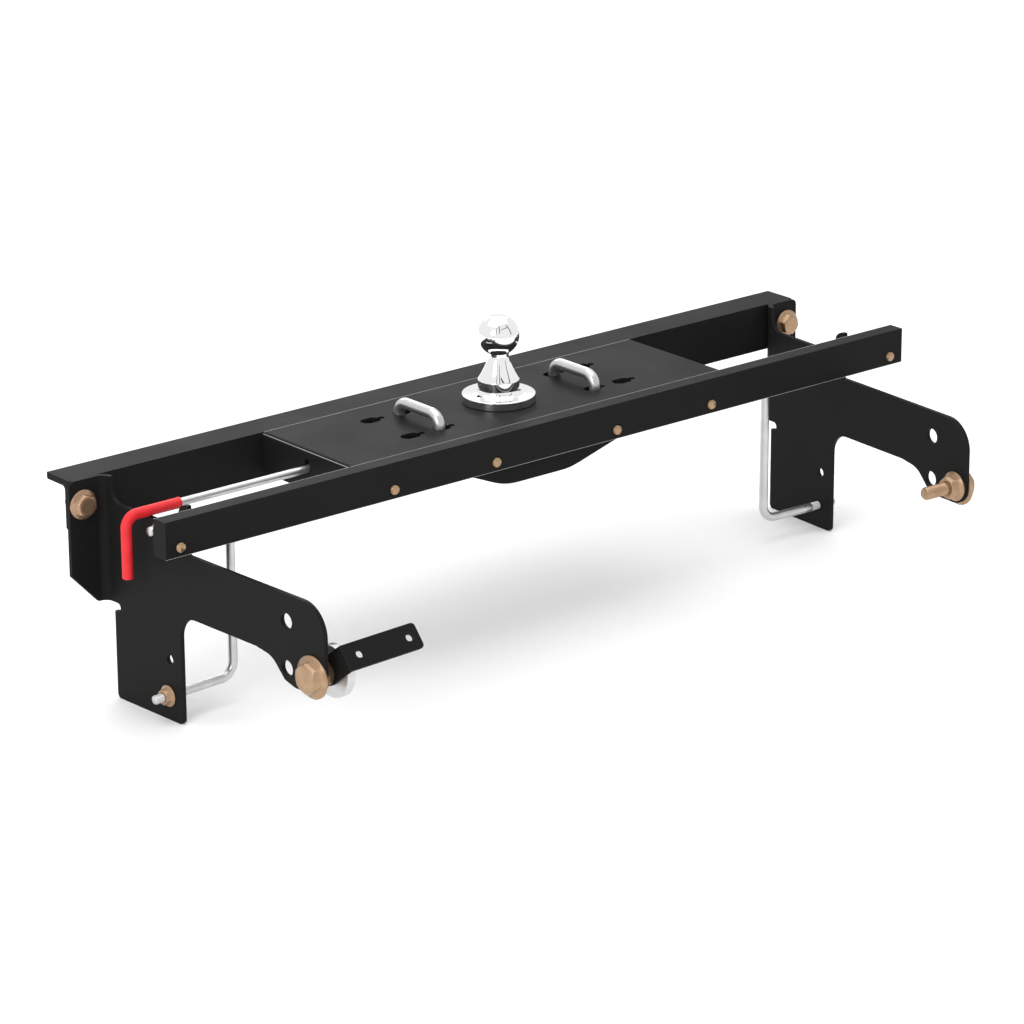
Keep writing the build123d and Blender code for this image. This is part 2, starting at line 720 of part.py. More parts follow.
front_head_bolts = hexBolt(head_points, front_wall, -1, front_reach)
front_end_bolts = hexBolt(end_points, front_flange, -1, front_reach)
rear_head_bolts = hexBolt(head_points, rear_wall, 1, rear_reach)
rear_end_bolts = hexBolt(end_points, rear_flange, 1, rear_reach, end_head_af, end_head_h, end_flange_d)
rear_nuts = hexNut(head_points + end_points, angle_rear, -1)

nodes = {
    "bracket_left": bracket_left, "bracket_right": bracket_right, "front_bar": front_bar,
    "rear_angle": rear_angle, "head_shell": head_shell, "rib_left": rib_left, "rib_right": rib_right,
    "belly_tray": belly_tray, "ball_receiver": ball_receiver, "hitch_ball": hitch_ball,
    "lock_rod": lock_rod, "rod_collar": rod_collar, "handle_grip": handle_grip,
    "loop_left": loop_left, "loop_right": loop_right, "loop_nuts_left": loop_nuts_left,
    "loop_nuts_right": loop_nuts_right, "springs_left": springs_left, "springs_right": springs_right,
    "u_bolt_left": u_bolt_left, "u_bolt_right": u_bolt_right, "u_nuts_left": u_nuts_left,
    "u_nuts_right": u_nuts_right, "arm_bolt_left": arm_bolt_left, "arm_bolt_right": arm_bolt_right,
    "arm_nut_left": arm_nut_left, "arm_nut_right": arm_nut_right,
    "arm_washer_left": arm_washer_left, "pull_strap": pull_strap,
    "front_head_bolts": front_head_bolts, "front_end_bolts": front_end_bolts,
    "rear_head_bolts": rear_head_bolts, "rear_end_bolts": rear_end_bolts, "rear_nuts": rear_nuts,
}
for name, built in nodes.items():
    built.part.label = name
    export_step(built.part, f"parts/{name}.step")
    print(name, len(built.part.solids()), round(built.part.volume))
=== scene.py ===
import json
import math

import bmesh
import bpy
from mathutils import Matrix, Vector


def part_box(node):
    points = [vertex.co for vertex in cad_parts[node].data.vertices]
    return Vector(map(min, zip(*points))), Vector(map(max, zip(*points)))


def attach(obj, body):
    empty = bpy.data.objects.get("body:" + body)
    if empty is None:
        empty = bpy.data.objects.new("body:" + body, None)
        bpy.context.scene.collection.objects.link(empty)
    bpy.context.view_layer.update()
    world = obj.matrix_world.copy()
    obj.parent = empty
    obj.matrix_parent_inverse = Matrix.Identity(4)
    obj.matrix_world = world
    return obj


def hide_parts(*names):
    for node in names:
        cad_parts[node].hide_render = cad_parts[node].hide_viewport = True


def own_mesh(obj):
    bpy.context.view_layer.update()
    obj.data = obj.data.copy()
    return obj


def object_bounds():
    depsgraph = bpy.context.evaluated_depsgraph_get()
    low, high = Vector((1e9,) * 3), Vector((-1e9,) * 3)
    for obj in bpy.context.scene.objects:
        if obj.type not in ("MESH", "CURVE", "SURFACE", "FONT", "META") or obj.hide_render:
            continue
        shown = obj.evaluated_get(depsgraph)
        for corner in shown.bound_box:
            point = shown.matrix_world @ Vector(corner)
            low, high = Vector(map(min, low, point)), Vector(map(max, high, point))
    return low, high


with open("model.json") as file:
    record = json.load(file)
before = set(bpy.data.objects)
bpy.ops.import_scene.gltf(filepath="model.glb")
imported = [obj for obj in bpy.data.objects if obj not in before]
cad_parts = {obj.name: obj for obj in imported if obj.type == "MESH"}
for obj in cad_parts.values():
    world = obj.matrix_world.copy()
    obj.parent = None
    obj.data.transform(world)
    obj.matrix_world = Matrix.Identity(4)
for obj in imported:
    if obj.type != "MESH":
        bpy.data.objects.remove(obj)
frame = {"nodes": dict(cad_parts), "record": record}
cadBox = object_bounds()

mm = 0.001
nodeBody = {}
for bodyName, members in frame["record"]["behaviour"]["bodies"].items():
    for member in members:
        nodeBody[member] = bodyName


class Wire:
    def __init__(self, finish, socket):
        self.finish = finish
        self.socket = socket

    def reckon(self, operation, first, second):
        return self.finish.add("ShaderNodeMath", {"operation": operation}, {0: first, 1: second})

    def __add__(self, other):
        return self.reckon("ADD", self, other)

    def __radd__(self, other):
        return self.reckon("ADD", other, self)

    def __sub__(self, other):
        return self.reckon("SUBTRACT", self, other)

    def __mul__(self, other):
        return self.reckon("MULTIPLY", self, other)

    def above(self, level):
        return self.reckon("GREATER_THAN", self, level)

    def below(self, level):
        return self.reckon("LESS_THAN", self, level)


class Finish:
    def __init__(self, name, **constants):
        self.material = bpy.data.materials.new(name)
        self.material.use_nodes = True
        self.tree = self.material.node_tree
        self.shader = self.tree.nodes["Principled BSDF"]
        for socketName, value in constants.items():
            self.shader.inputs[socketName.replace("_", " ")].default_value = value

    def put(self, socket, value):
        if isinstance(value, Wire):
            self.tree.links.new(value.socket, socket)
        else:
            socket.default_value = value

    def add(self, kind, settings=None, values=None, out=0):
        node = self.tree.nodes.new(kind)
        for key, value in (settings or {}).items():
            setattr(node, key, value)
        for key, value in (values or {}).items():
            self.put(node.inputs[key], value)
        return Wire(self, node.outputs[out])

    def place(self):
        return self.add("ShaderNodeTexCoord", out="Object")

    def noise(self, size, detail=3):
        return self.add("ShaderNodeTexNoise", {}, {
            "Vector": self.place(), "Scale": 1 / size, "Detail": detail})

    def blendColour(self, mask, first, second):
        return self.mix(mask, (*first, 1), (*second, 1))

    def mix(self, mask, first, second):
        return self.add("ShaderNodeMix", {"data_type": "RGBA"}, {0: mask, 6: first, 7: second}, out=2)

    def spotMask(self, highlightBands):
        parts = self.parts()
        mask = 0.0
        for spot in highlightBands:
            inside = 1.0
            for axis, (low, high) in spot.items():
                inside = parts[axis].above(low) * parts[axis].below(high) * inside
            mask = inside + mask
        return mask

    def parts(self):
        split = self.add("ShaderNodeSeparateXYZ", {}, {"Vector": self.place()}).socket.node
        return {axis: Wire(self, split.outputs[axis]) for axis in "XYZ"}

    def bump(self, height, depth, strength):
        normal = self.add("ShaderNodeBump", {}, {"Height": height, "Distance": depth, "Strength": strength})
        self.put(self.shader.inputs["Normal"], normal)

    def feed(self, **links):
        for socketName, value in links.items():
            self.put(self.shader.inputs[socketName.replace("_", " ")], value)
        return self.material


def blackCoat(name, *highlightBands):
    look = {"dark": (0.0095, 0.0095, 0.0095), "pale": (0.0135, 0.0135, 0.013), "rough": 0.5,
            "paintedHighlight": (0.16, 0.16, 0.16), "paintedHighlightPale": (0.55, 0.55, 0.54), "cloud": 0.11, "grain": 0.0012,
            "highlightMottle": 0.05, "depth": 0.00012}
    finish = Finish(name, Specular_IOR_Level=0.05)
    cloud = finish.noise(look["cloud"], 4)
    grain = finish.noise(look["grain"], 2)
    finish.bump(grain, look["depth"], 0.4)
    coat = finish.blendColour(cloud, look["dark"], look["pale"])
    # painted highlight: pale lines mixed over the coat inside the given bands
    if highlightBands:
        paintedHighlight = finish.blendColour(finish.noise(look["highlightMottle"], 3), look["paintedHighlight"], look["paintedHighlightPale"])
        coat = finish.mix(finish.spotMask(highlightBands), coat, paintedHighlight)
    return finish.feed(Base_Color=coat,
                       Roughness=look["rough"] + (cloud - 0.5) * 0.2 + (grain - 0.5) * 0.1)


# painted highlight: the bevel faces of the plain black parts take this lighter grey
def paintedEdgeHighlight():
    look = {"dark": (0.02, 0.02, 0.02), "pale": (0.045, 0.045, 0.045), "rough": 0.42, "highlightMottle": 0.03}
    finish = Finish("paintedEdgeHighlight", Specular_IOR_Level=0.15)
    highlightLine = finish.noise(look["highlightMottle"], 4)
    return finish.feed(Base_Color=finish.blendColour(highlightLine, look["dark"], look["pale"]),
                       Roughness=look["rough"] + (highlightLine - 0.5) * 0.2)


# painted highlight: pale lines where the edges catch the light, drawn into the coat as bands of the object's
# own coordinates
barLow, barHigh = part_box("front_bar")
headLow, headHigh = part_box("head_shell")
highlightLine = {"line": 1.7 * mm, "lip": 0.9 * mm, "endLine": 2.16 * mm, "endDepth": 2.7 * mm}
backTopEdge = {"Y": (barHigh.y - highlightLine["line"], 1), "Z": (barHigh.z - highlightLine["lip"], 1)}
frontLowEdge = {"Y": (-1, barLow.y + highlightLine["lip"]), "Z": (-1, barLow.z + highlightLine["lip"])}
headSeam = {"Y": (headHigh.y - highlightLine["lip"], 1), "Z": (-highlightLine["lip"], 1)}
headEndEdge = {"X": (-1, headLow.x + highlightLine["endLine"]), "Z": (-highlightLine["endDepth"], 1)}


def goldZinc():
    look = {"straw": (0.41, 0.275, 0.165), "rose": (0.36, 0.22, 0.14), "rough": 0.3,
            "cloud": 0.012, "grain": 0.0007, "depth": 0.00005}
    finish = Finish("goldZinc", Metallic=0.75)
    cloud = finish.noise(look["cloud"], 3)
    grain = finish.noise(look["grain"], 3)
    stain = (cloud - 0.38) * 3.2
    finish.bump(grain, look["depth"], 0.4)
    return finish.feed(Base_Color=finish.blendColour(stain, look["straw"], look["rose"]),
                       Roughness=look["rough"] + (grain - 0.5) * 0.25)


def platedRod():
    look = {"bright": (0.70, 0.70, 0.69), "dull": (0.50, 0.50, 0.50), "rough": 0.32,
            "cloud": 0.02, "grain": 0.0006, "depth": 0.00006}
    finish = Finish("platedRod", Metallic=0.9)
    cloud = finish.noise(look["cloud"], 4)
    grain = finish.noise(look["grain"], 3)
    finish.bump(grain, look["depth"], 0.5)
    return finish.feed(Base_Color=finish.blendColour(cloud, look["bright"], look["dull"]),
                       Roughness=look["rough"] + (cloud - 0.5) * 0.15 + (grain - 0.5) * 0.2)


def springWire():
    look = {"bright": (0.42, 0.42, 0.43), "dull": (0.25, 0.25, 0.26), "rough": 0.33, "cloud": 0.006}
    finish = Finish("springWire", Metallic=1.0)
    cloud = finish.noise(look["cloud"], 3)
    return finish.feed(Base_Color=finish.blendColour(cloud, look["bright"], look["dull"]),
                       Roughness=look["rough"] + (cloud - 0.5) * 0.2)


def ballChrome():
    look = {"bright": (0.92, 0.92, 0.93), "dull": (0.86, 0.86, 0.87), "rough": 0.035, "cloud": 0.03}
    finish = Finish("ballChrome", Metallic=1.0)
    cloud = finish.noise(look["cloud"], 3)
    return finish.feed(Base_Color=finish.blendColour(cloud, look["bright"], look["dull"]),
                       Roughness=look["rough"] + cloud * 0.03)


def redGrip():
    look = {"deep": (0.60, 0.010, 0.016), "light": (0.80, 0.026, 0.034), "rough": 0.5,
            "cloud": 0.02, "grain": 0.0012, "depth": 0.0001}
    finish = Finish("redGrip", Specular_IOR_Level=0.35)
    cloud = finish.noise(look["cloud"], 3)
    grain = finish.noise(look["grain"], 2)
    finish.bump(grain, look["depth"], 0.35)
    return finish.feed(Base_Color=finish.blendColour(cloud, look["deep"], look["light"]),
                       Roughness=look["rough"] + (cloud - 0.5) * 0.2)


looks = {
    "black_coat": blackCoat("blackCoat"), "gold_zinc": goldZinc(), "plated_rod": platedRod(),
    "spring_steel": springWire(), "chrome": ballChrome(), "red_grip": redGrip(),
}
# bar and head coats carry painted highlight lines along chosen edges
coatOf = {
    "front_bar": blackCoat("barCoat", backTopEdge, frontLowEdge),
    "head_shell": blackCoat("headCoat", headSeam, headEndEdge),
}
highlightEdgeFinish = paintedEdgeHighlight()
slotOf = {part["node"]: part["material_slot"] for part in frame["record"]["subparts"]}
for nodeName, nodeObject in frame["nodes"].items():
    nodeObject.data.materials.clear()
    nodeObject.data.materials.append(looks[slotOf[nodeName]])
print("materials on", len(frame["nodes"]), "CAD nodes")


def link(name, mesh):
    piece = bpy.data.objects.new(name, mesh)
    bpy.context.scene.collection.objects.link(piece)
    return piece


def meshFrom(name, shape, sharpAngle=32):
    for face in shape.faces:
        face.smooth = True
    for edge in shape.edges:
        if len(edge.link_faces) == 2 and edge.calc_face_angle() > math.radians(sharpAngle):
            edge.smooth = False
    mesh = bpy.data.meshes.new(name)
    shape.to_mesh(mesh)
    shape.free()
    return mesh


def finishPiece(piece, body, slot, *nodes):
    if not piece.data.materials:
        piece.data.materials.append(looks[slot])
    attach(piece, body)
    if nodes:
        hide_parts(*nodes)
    return piece


def plainMesh(piece):
    graph = bpy.context.evaluated_depsgraph_get()
    mesh = bpy.data.meshes.new_from_object(piece.evaluated_get(graph))
    old = piece.data
    piece.modifiers.clear()
    piece.data = mesh
    bpy.data.meshes.remove(old)
    return piece


def mergedShape(node):
    shape = bmesh.new()
    shape.from_mesh(frame["nodes"][node].data)
    bmesh.ops.remove_doubles(shape, verts=shape.verts, dist=0.000004)
    return shape


def islands(node):
    shape = mergedShape(node)
    left = set(shape.verts)
    boxes = []
    while left:
        stack = [left.pop()]
        group = list(stack)
        while stack:
            for edge in stack.pop().link_edges:
                for vert in edge.verts:
                    if vert in left:
                        left.discard(vert)
                        stack.append(vert)
                        group.append(vert)
        low = Vector([min(vert.co[axis] for vert in group) for axis in range(3)])
        high = Vector([max(vert.co[axis] for vert in group) for axis in range(3)])
        boxes.append((low, high))
    shape.free()
    return sorted(boxes, key=lambda pair: (round(pair[0].x, 4), round(pair[0].z, 4)))


def softEdged(node, width):
    edge = {"flat": 0.6, "corner": 30, "steps": 2, "weight": 80}
    shape = mergedShape(node)
    flat = math.radians(edge["flat"])
    bmesh.ops.dissolve_limit(shape, angle_limit=flat, verts=shape.verts, edges=shape.edges)
    piece = link(node + "Finished", meshFrom(node + "Finished", shape, 180))
    face = coatOf.get(node, looks[slotOf[node]])
    plainCoat = slotOf[node] == "black_coat" and node not in coatOf
    piece.data.materials.append(face)
    # bevel faces of plain black-coat parts get the painted edge highlight
    piece.data.materials.append(highlightEdgeFinish if plainCoat else face)
    bevel = piece.modifiers.new("edge", "BEVEL")
    bevel.width = width
    bevel.segments = edge["steps"]
    bevel.limit_method = "ANGLE"
    bevel.angle_limit = math.radians(edge["corner"])
    bevel.miter_outer = "MITER_ARC"
    bevel.material = 1
    weighted = piece.modifiers.new("normals", "WEIGHTED_NORMAL")
    weighted.keep_sharp = False
    weighted.weight = edge["weight"]
    plainMesh(piece)
    return finishPiece(piece, nodeBody[node], slotOf[node], node)


def plates():
    widths = {
        "bracket_left": 0.8, "bracket_right": 0.8, "rear_angle": 0.8,
        "rib_left": 0.6, "rib_right": 0.6, "belly_tray": 0.7, "pull_strap": 0.6,
        "front_bar": 1.1, "head_shell": 0.9,
    }
    for node, width in widths.items():
        softEdged(node, width * mm)
    print("plates with eased edges:", len(widths))


plates()


def bentPath(corners, bend, step):
    points = [Vector(corners[0])]
    for before, here, after in zip(corners, corners[1:], corners[2:]):
        here = Vector(here)
        back = (Vector(before) - here).normalized()
        ahead = (Vector(after) - here).normalized()
        turn = math.pi - back.angle(ahead)
        reach = bend * math.tan(turn / 2)
        centre = here + (back + ahead).normalized() * (bend / math.cos(turn / 2))
        start = here + back * reach - centre
        axis = start.cross(here + ahead * reach - centre).normalized()
        count = max(4, round(bend * turn / step))
        points += [centre + Matrix.Rotation(turn * k / count, 3, axis) @ start for k in range(count + 1)]
    points.append(Vector(corners[-1]))
    path = [points[0]]
    for here, after in zip(points, points[1:]):
        count = max(1, math.ceil((after - here).length / step))
        path += [here.lerp(after, k / count) for k in range(1, count + 1)]
    return path


def sweptRod(shape, path, radiusAt, sides=28):
    tangent = (path[1] - path[0]).normalized()
    normal = tangent.orthogonal().normalized()
    travelled = 0.0
    total = sum((b - a).length for a, b in zip(path, path[1:]))
    rings = []
    for k, point in enumerate(path):
        if k:
            travelled += (point - path[k - 1]).length
            ahead = (path[min(k + 1, len(path) - 1)] - path[k - 1]).normalized()
            normal = (normal - ahead * normal.dot(ahead)).normalized()
            tangent = ahead
        side = tangent.cross(normal)
        ring = []
        for n in range(sides):
            around = 2 * math.pi * n / sides
            radius = radiusAt(travelled, total, around)
            out = normal * math.cos(around) + side * math.sin(around)
            ring.append(shape.verts.new(point + out * radius))
        rings.append(ring)
    for low, high in zip(rings, rings[1:]):
        for n in range(sides):
            m = (n + 1) % sides
            shape.faces.new((low[n], low[m], high[m], high[n]))
    shape.faces.new(list(reversed(rings[0])))
    shape.faces.new(rings[-1])


def threadDip(travelled, around, pitch, depth):
    phase = (travelled / pitch - around / (2 * math.pi)) % 1.0
    return depth * (1 - abs(2 * phase - 1))


def rodRadius(radius, pitch, startThread, endThread, chamfer=1.2 * mm):
    depth = pitch * 0.5

    def radiusAt(travelled, total, around):
        fromEnd = min(travelled, total - travelled)
        size = radius
        if travelled < startThread or total - travelled < endThread:
            size -= threadDip(travelled, around, pitch, depth)
        if fromEnd < chamfer:
            size = min(size, radius - (chamfer - fromEnd))
        return size
    return radiusAt


def fineEnds(path, length, step):
    finer = [path[0]]
    total = sum((b - a).length for a, b in zip(path, path[1:]))
    travelled = 0.0
    for here, after in zip(path, path[1:]):
        span = (after - here).length
        middle = travelled + span / 2
        near = middle < length or total - middle < length
        count = max(1, math.ceil(span / step)) if near else 1
        finer += [here.lerp(after, k / count) for k in range(1, count + 1)]
        travelled += span
    return finer


def hexShape(shape, across, height, flangeD=0.0, flangeT=0.0, boreD=0.0, dome=0.0):
    cut = {"steps": 72, "crown": 0.94, "slope": 30, "core": 0.3 * mm, "lip": 0.4 * mm,
           "round": 0.6 * mm, "mouth": 0.8 * mm, "dish": 0.55,
           "rimTop": 0.6, "coneStart": 0.8, "coneEnd": 1.15, "hexStart": 1.3}
    steps = cut["steps"]
    crown = across / 2 * cut["crown"]
    slope = math.tan(math.radians(cut["slope"]))
    rings = []

    def ring(radiusOf, heightOf):
        made = []
        for k in range(steps):
            around = 2 * math.pi * k / steps
            radius = radiusOf(around)
            place = Vector((radius * math.cos(around), radius * math.sin(around), heightOf(radius)))
            made.append(shape.verts.new(place))
        rings.append(made)

    def hexRadius(around):
        return across / 2 / math.cos((around + math.pi / 6) % (math.pi / 3) - math.pi / 6)

    inner = boreD / 2
    low = inner if boreD else cut["core"]
    ring(lambda a: low, lambda r: 0)
    if flangeD:
        ring(lambda a: flangeD / 2 - cut["lip"], lambda r: 0)
        ring(lambda a: flangeD / 2, lambda r: cut["lip"])
        ring(lambda a: flangeD / 2, lambda r: flangeT * cut["rimTop"])
        ring(lambda a: flangeD / 2 - cut["round"], lambda r: flangeT * cut["coneStart"])
        ring(lambda a: hexRadius(a) + cut["lip"], lambda r: flangeT * cut["coneEnd"])
    else:
        ring(hexRadius, lambda r: 0)
    ring(hexRadius, lambda r: flangeT * cut["hexStart"])
    ring(hexRadius, lambda r: height - (r - crown) * slope)
    ring(lambda a: crown, lambda r: height)
    if boreD:
        ring(lambda a: inner + cut["mouth"], lambda r: height)
        ring(lambda a: inner, lambda r: height - cut["mouth"])
    else:
        ring(lambda a: crown * cut["dish"], lambda r: height - dome)
        ring(lambda a: cut["core"], lambda r: height - dome)
    for lower, upper in zip(rings, rings[1:]):
        for k in range(steps):
            n = (k + 1) % steps
            shape.faces.new((lower[k], lower[n], upper[n], upper[k]))
    if boreD:
        for k in range(steps):
            n = (k + 1) % steps
            shape.faces.new((rings[-1][k], rings[-1][n], rings[0][n], rings[0][k]))
    else:
        shape.faces.new(list(reversed(rings[0])))
        shape.faces.new(rings[-1])


def facing(direction, spin):
    turn = Vector(direction).to_track_quat("Z", "Y").to_matrix().to_4x4()
    return (turn @ Matrix.Rotation(spin, 4, "Z")).to_euler()


record = frame["record"]
mounts = {mount["name"]: mount for mount in record["mounts"]}
outward = {side: Vector(mounts["leg_hole_" + side]["axis"]).normalized() for side in ("left", "right")}
plateMiddle = {side: Vector(mounts["leg_hole_" + side]["pos_m"]).dot(outward[side]) for side in outward}
plateT = mounts["leg_hole_left"]["dims"]["length_mm"] * mm


def onFace(side, point, beyond):
    level = plateMiddle[side] + plateT / 2 + beyond
    return point + outward[side] * (level - point.dot(outward[side]))


def setInputs(modifier, tree, values):
    for item in tree.interface.items_tree:
        if item.item_type == "SOCKET" and item.in_out == "INPUT" and item.name in values:
            modifier[item.identifier] = values[item.name]


def newTree(name, inputs):
    tree = bpy.data.node_groups.new(name, "GeometryNodeTree")
    tree.interface.new_socket("Geometry", in_out="INPUT", socket_type="NodeSocketGeometry")
    for label, kind in inputs:
        tree.interface.new_socket(label, in_out="INPUT", socket_type=kind)
    tree.interface.new_socket("Geometry", in_out="OUTPUT", socket_type="NodeSocketGeometry")
    source = tree.nodes.new("NodeGroupInput")
    result = tree.nodes.new("NodeGroupOutput")
    return tree, source, result


def treeNode(tree, kind, settings=None, values=None):
    node = tree.nodes.new(kind)
    for key, value in (settings or {}).items():
        setattr(node, key, value)
    for key, value in (values or {}).items():
        if isinstance(value, bpy.types.NodeSocket):
            tree.links.new(value, node.inputs[key])
        else:
            node.inputs[key].default_value = value
    return node


def closeTree(tree, result, geometry, material):
    realized = treeNode(tree, "GeometryNodeRealizeInstances", {}, {"Geometry": geometry})
    painted = treeNode(tree, "GeometryNodeSetMaterial", {}, {
        "Geometry": realized.outputs[0], "Material": material})
    tree.links.new(painted.outputs[0], result.inputs[0])


def fastenerTree():
    tree, source, result = newTree("fastenerRow", [
        ("Fastener", "NodeSocketObject"), ("Facing", "NodeSocketRotation"),
        ("Finish", "NodeSocketMaterial")])
    points = treeNode(tree, "GeometryNodeMeshToPoints", {}, {"Mesh": source.outputs["Geometry"]})
    fastener = treeNode(tree, "GeometryNodeObjectInfo", {}, {"Object": source.outputs["Fastener"]})
    placed = treeNode(tree, "GeometryNodeInstanceOnPoints", {}, {
        "Points": points.outputs[0], "Instance": fastener.outputs["Geometry"],
        "Rotation": source.outputs["Facing"]})
    closeTree(tree, result, placed.outputs[0], source.outputs["Finish"])
    return tree


rowTree = fastenerTree()


def fastenerRow(name, prototype, seats, direction, node, spin=0.0):
    mesh = bpy.data.meshes.new(name)
    mesh.from_pydata([tuple(seat) for seat in seats], [], [])
    piece = link(name, mesh)
    modifier = piece.modifiers.new("row", "NODES")
    modifier.node_group = rowTree
    slot = slotOf[node]
    setInputs(modifier, rowTree, {
        "Fastener": prototype, "Facing": facing(direction, spin), "Finish": looks[slot]})
    plainMesh(piece)
    return finishPiece(piece, nodeBody[node], slot, node)


def boltPrototype(size):
    shape = bmesh.new()
    hexShape(shape, size["across"], size["head"], size["flange"], size["flangeT"], dome=0.5 * mm)
    shank = bentPath([(0, 0, 0.5 * mm), (0, 0, -size["reach"])], 1, 1.0 * mm)
    finer = fineEnds(shank, size["thread"], size["pitch"] / 6)
    profile = rodRadius(size["shank"] / 2, size["pitch"], 0, size["thread"], size["chamfer"])
    sweptRod(shape, finer, profile)
    return link("bolt", meshFrom("bolt", shape))


def nutPrototype(size):
    shape = bmesh.new()
    hexShape(shape, size["across"], size["height"], size["flange"], size["flangeT"], size["bore"])
    return link("nut", meshFrom("nut", shape))


def crossMemberBolts():
    bolts = {
        "front_head_bolts": {"facing": (0, 1, 0), "across": 22, "head": 9, "flangeT": 2.5, "thread": 20},
        "front_end_bolts": {"facing": (0, 1, 0), "across": 22, "head": 9, "flangeT": 2.5, "thread": 20},
        "rear_head_bolts": {"facing": (0, -1, 0), "across": 22, "head": 9, "flangeT": 2.5, "thread": 16},
        "rear_end_bolts": {"facing": (0, -1, 0), "across": 27, "head": 13, "flangeT": 4, "thread": 16},
    }
    spins = {"rear_end_bolts": 0.2, "rear_head_bolts": 0.5, "front_head_bolts": 0.3}
    for node, bolt in bolts.items():
        boxes = islands(node)
        low, high = boxes[0]
        ahead = bolt["facing"][1]
        size = {key: bolt[key] * mm for key in ("across", "head", "flangeT", "thread")}
        size.update(flange=high.z - low.z, shank=14 * mm, pitch=2 * mm, chamfer=1.6 * mm,
                    reach=high.y - low.y - size["head"])
        seatY = high.y - size["head"] if ahead > 0 else low.y + size["head"]
        seats = [Vector(((a.x + b.x) / 2, seatY, (a.z + b.z) / 2)) for a, b in boxes]
        prototype = boltPrototype(size)
        fastenerRow(node + "Finished", prototype, seats, bolt["facing"], node, spins.get(node, 0))
        bpy.data.objects.remove(prototype)
    boxes = islands("rear_nuts")
    low, high = boxes[0]
    prototype = nutPrototype({"across": 22 * mm, "height": high.y - low.y, "flange": high.z - low.z,
                              "flangeT": 2.5 * mm, "bore": 13.4 * mm})
    seats = [Vector(((a.x + b.x) / 2, a.y, (a.z + b.z) / 2)) for a, b in boxes]
    fastenerRow("rearNutsFinished", prototype, seats, (0, 1, 0), "rear_nuts", 0.4)
    bpy.data.objects.remove(prototype)
    print("cross member bolts and nuts")


crossMemberBolts()


def uBolts():
    bolt = {"rod": 12.7 * mm, "bend": 21 * mm, "pitch": 1.95 * mm, "thread": 44 * mm,
            "step": 2.5 * mm, "sides": 24}
    nut = {"across": 19 * mm, "height": 11 * mm, "flange": 30 * mm, "flangeT": 2.5 * mm, "bore": 12.2 * mm}
    prototype = nutPrototype(nut)
    radius = bolt["rod"] / 2
    for side in ("left", "right"):
        node = "u_bolt_" + side
        low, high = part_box(node)
        out = outward[side]
        toe = abs(out.y)
        insideX = high.x - radius if side == "left" else low.x + radius
        endX = low.x + radius * toe if side == "left" else high.x - radius * toe
        insideY = high.y - radius
        legLength = abs(endX - insideX) / abs(out.x)
        top = Vector((insideX, insideY, high.z - radius))
        foot = Vector((insideX, insideY, low.z + radius))
        path = bentPath([top + out * legLength, top, foot, foot + out * legLength], bolt["bend"],
                        bolt["step"])
        shape = bmesh.new()
        profile = rodRadius(radius, bolt["pitch"], bolt["thread"], bolt["thread"])
        sweptRod(shape, fineEnds(path, bolt["thread"], bolt["pitch"] / 6), profile, bolt["sides"])
        piece = link(node + "Finished", meshFrom(node + "Finished", shape))
        finishPiece(piece, nodeBody[node], slotOf[node], node)
        seats = [onFace(side, point, 0) for point in (top, foot)]
        fastenerRow("u_nuts_" + side + "Finished", prototype, seats, out, "u_nuts_" + side, 0.25)
    bpy.data.objects.remove(prototype)
    print("U-bolts with threads and flange nuts")


uBolts()


def armBolts():
    bolt = {"across": 37 * mm, "head": 15 * mm, "flange": 58 * mm, "flangeT": 4 * mm, "shank": 19.05 * mm,
            "pitch": 2.5 * mm, "chamfer": 1.8 * mm, "thread": 36 * mm}
    nut = {"across": 28.6 * mm, "height": 17 * mm, "flange": 43 * mm, "flangeT": 3.5 * mm, "bore": 18.4 * mm}
    nutShape = nutPrototype(nut)
    for side in ("left", "right"):
        node = "arm_bolt_" + side
        low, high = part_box(node)
        out = outward[side]
        centre = Vector((0, (low.y + high.y) / 2, (low.z + high.z) / 2))
        seat = centre
        for approach in range(2):
            seat = onFace(side, Vector((seat.x, centre.y, centre.z)), 0)
        skew = abs(out.y) * bolt["flange"] / 2 + abs(out.y) * bolt["shank"] / 2
        span = (high.x - low.x - skew) / abs(out.x)
        size = dict(bolt, reach=span - bolt["head"])
        head = boltPrototype(size)
        fastenerRow(node + "Finished", head, [seat], out, node, 0.12)
        bpy.data.objects.remove(head)
        inner = onFace(side, seat, -plateT)
        fastenerRow("arm_nut_" + side + "Finished", nutShape, [inner], -out, "arm_nut_" + side, 0.3)
    bpy.data.objects.remove(nutShape)
    softEdged("arm_washer_left", 0.8 * mm)
    print("arm bolts and nuts")


armBolts()


def turned(name, outline, sides):
    shape = bmesh.new()
    rings = []
    for radius, height in outline:
        if radius < 1e-6:
            rings.append([shape.verts.new((0, 0, height))])
        else:
            rings.append([shape.verts.new((radius * math.cos(2 * math.pi * k / sides),
                                           radius * math.sin(2 * math.pi * k / sides), height))
                          for k in range(sides)])
    for low, high in zip(rings, rings[1:]):
        for k in range(sides):
            n = (k + 1) % sides
            if len(low) == 1:
                shape.faces.new((low[0], high[n], high[k]))
            elif len(high) == 1:
                shape.faces.new((low[k], low[n], high[0]))
            else:
                shape.faces.new((low[k], low[n], high[n], high[k]))
    bmesh.ops.recalc_face_normals(shape, faces=shape.faces)
    return link(name, meshFrom(name, shape, 40))


def arcPoints(centreR, centreZ, radius, start, end, count):
    return [(centreR + radius * math.cos(math.radians(start + (end - start) * k / count)),
             centreZ + radius * math.sin(math.radians(start + (end - start) * k / count)))
            for k in range(count + 1)]


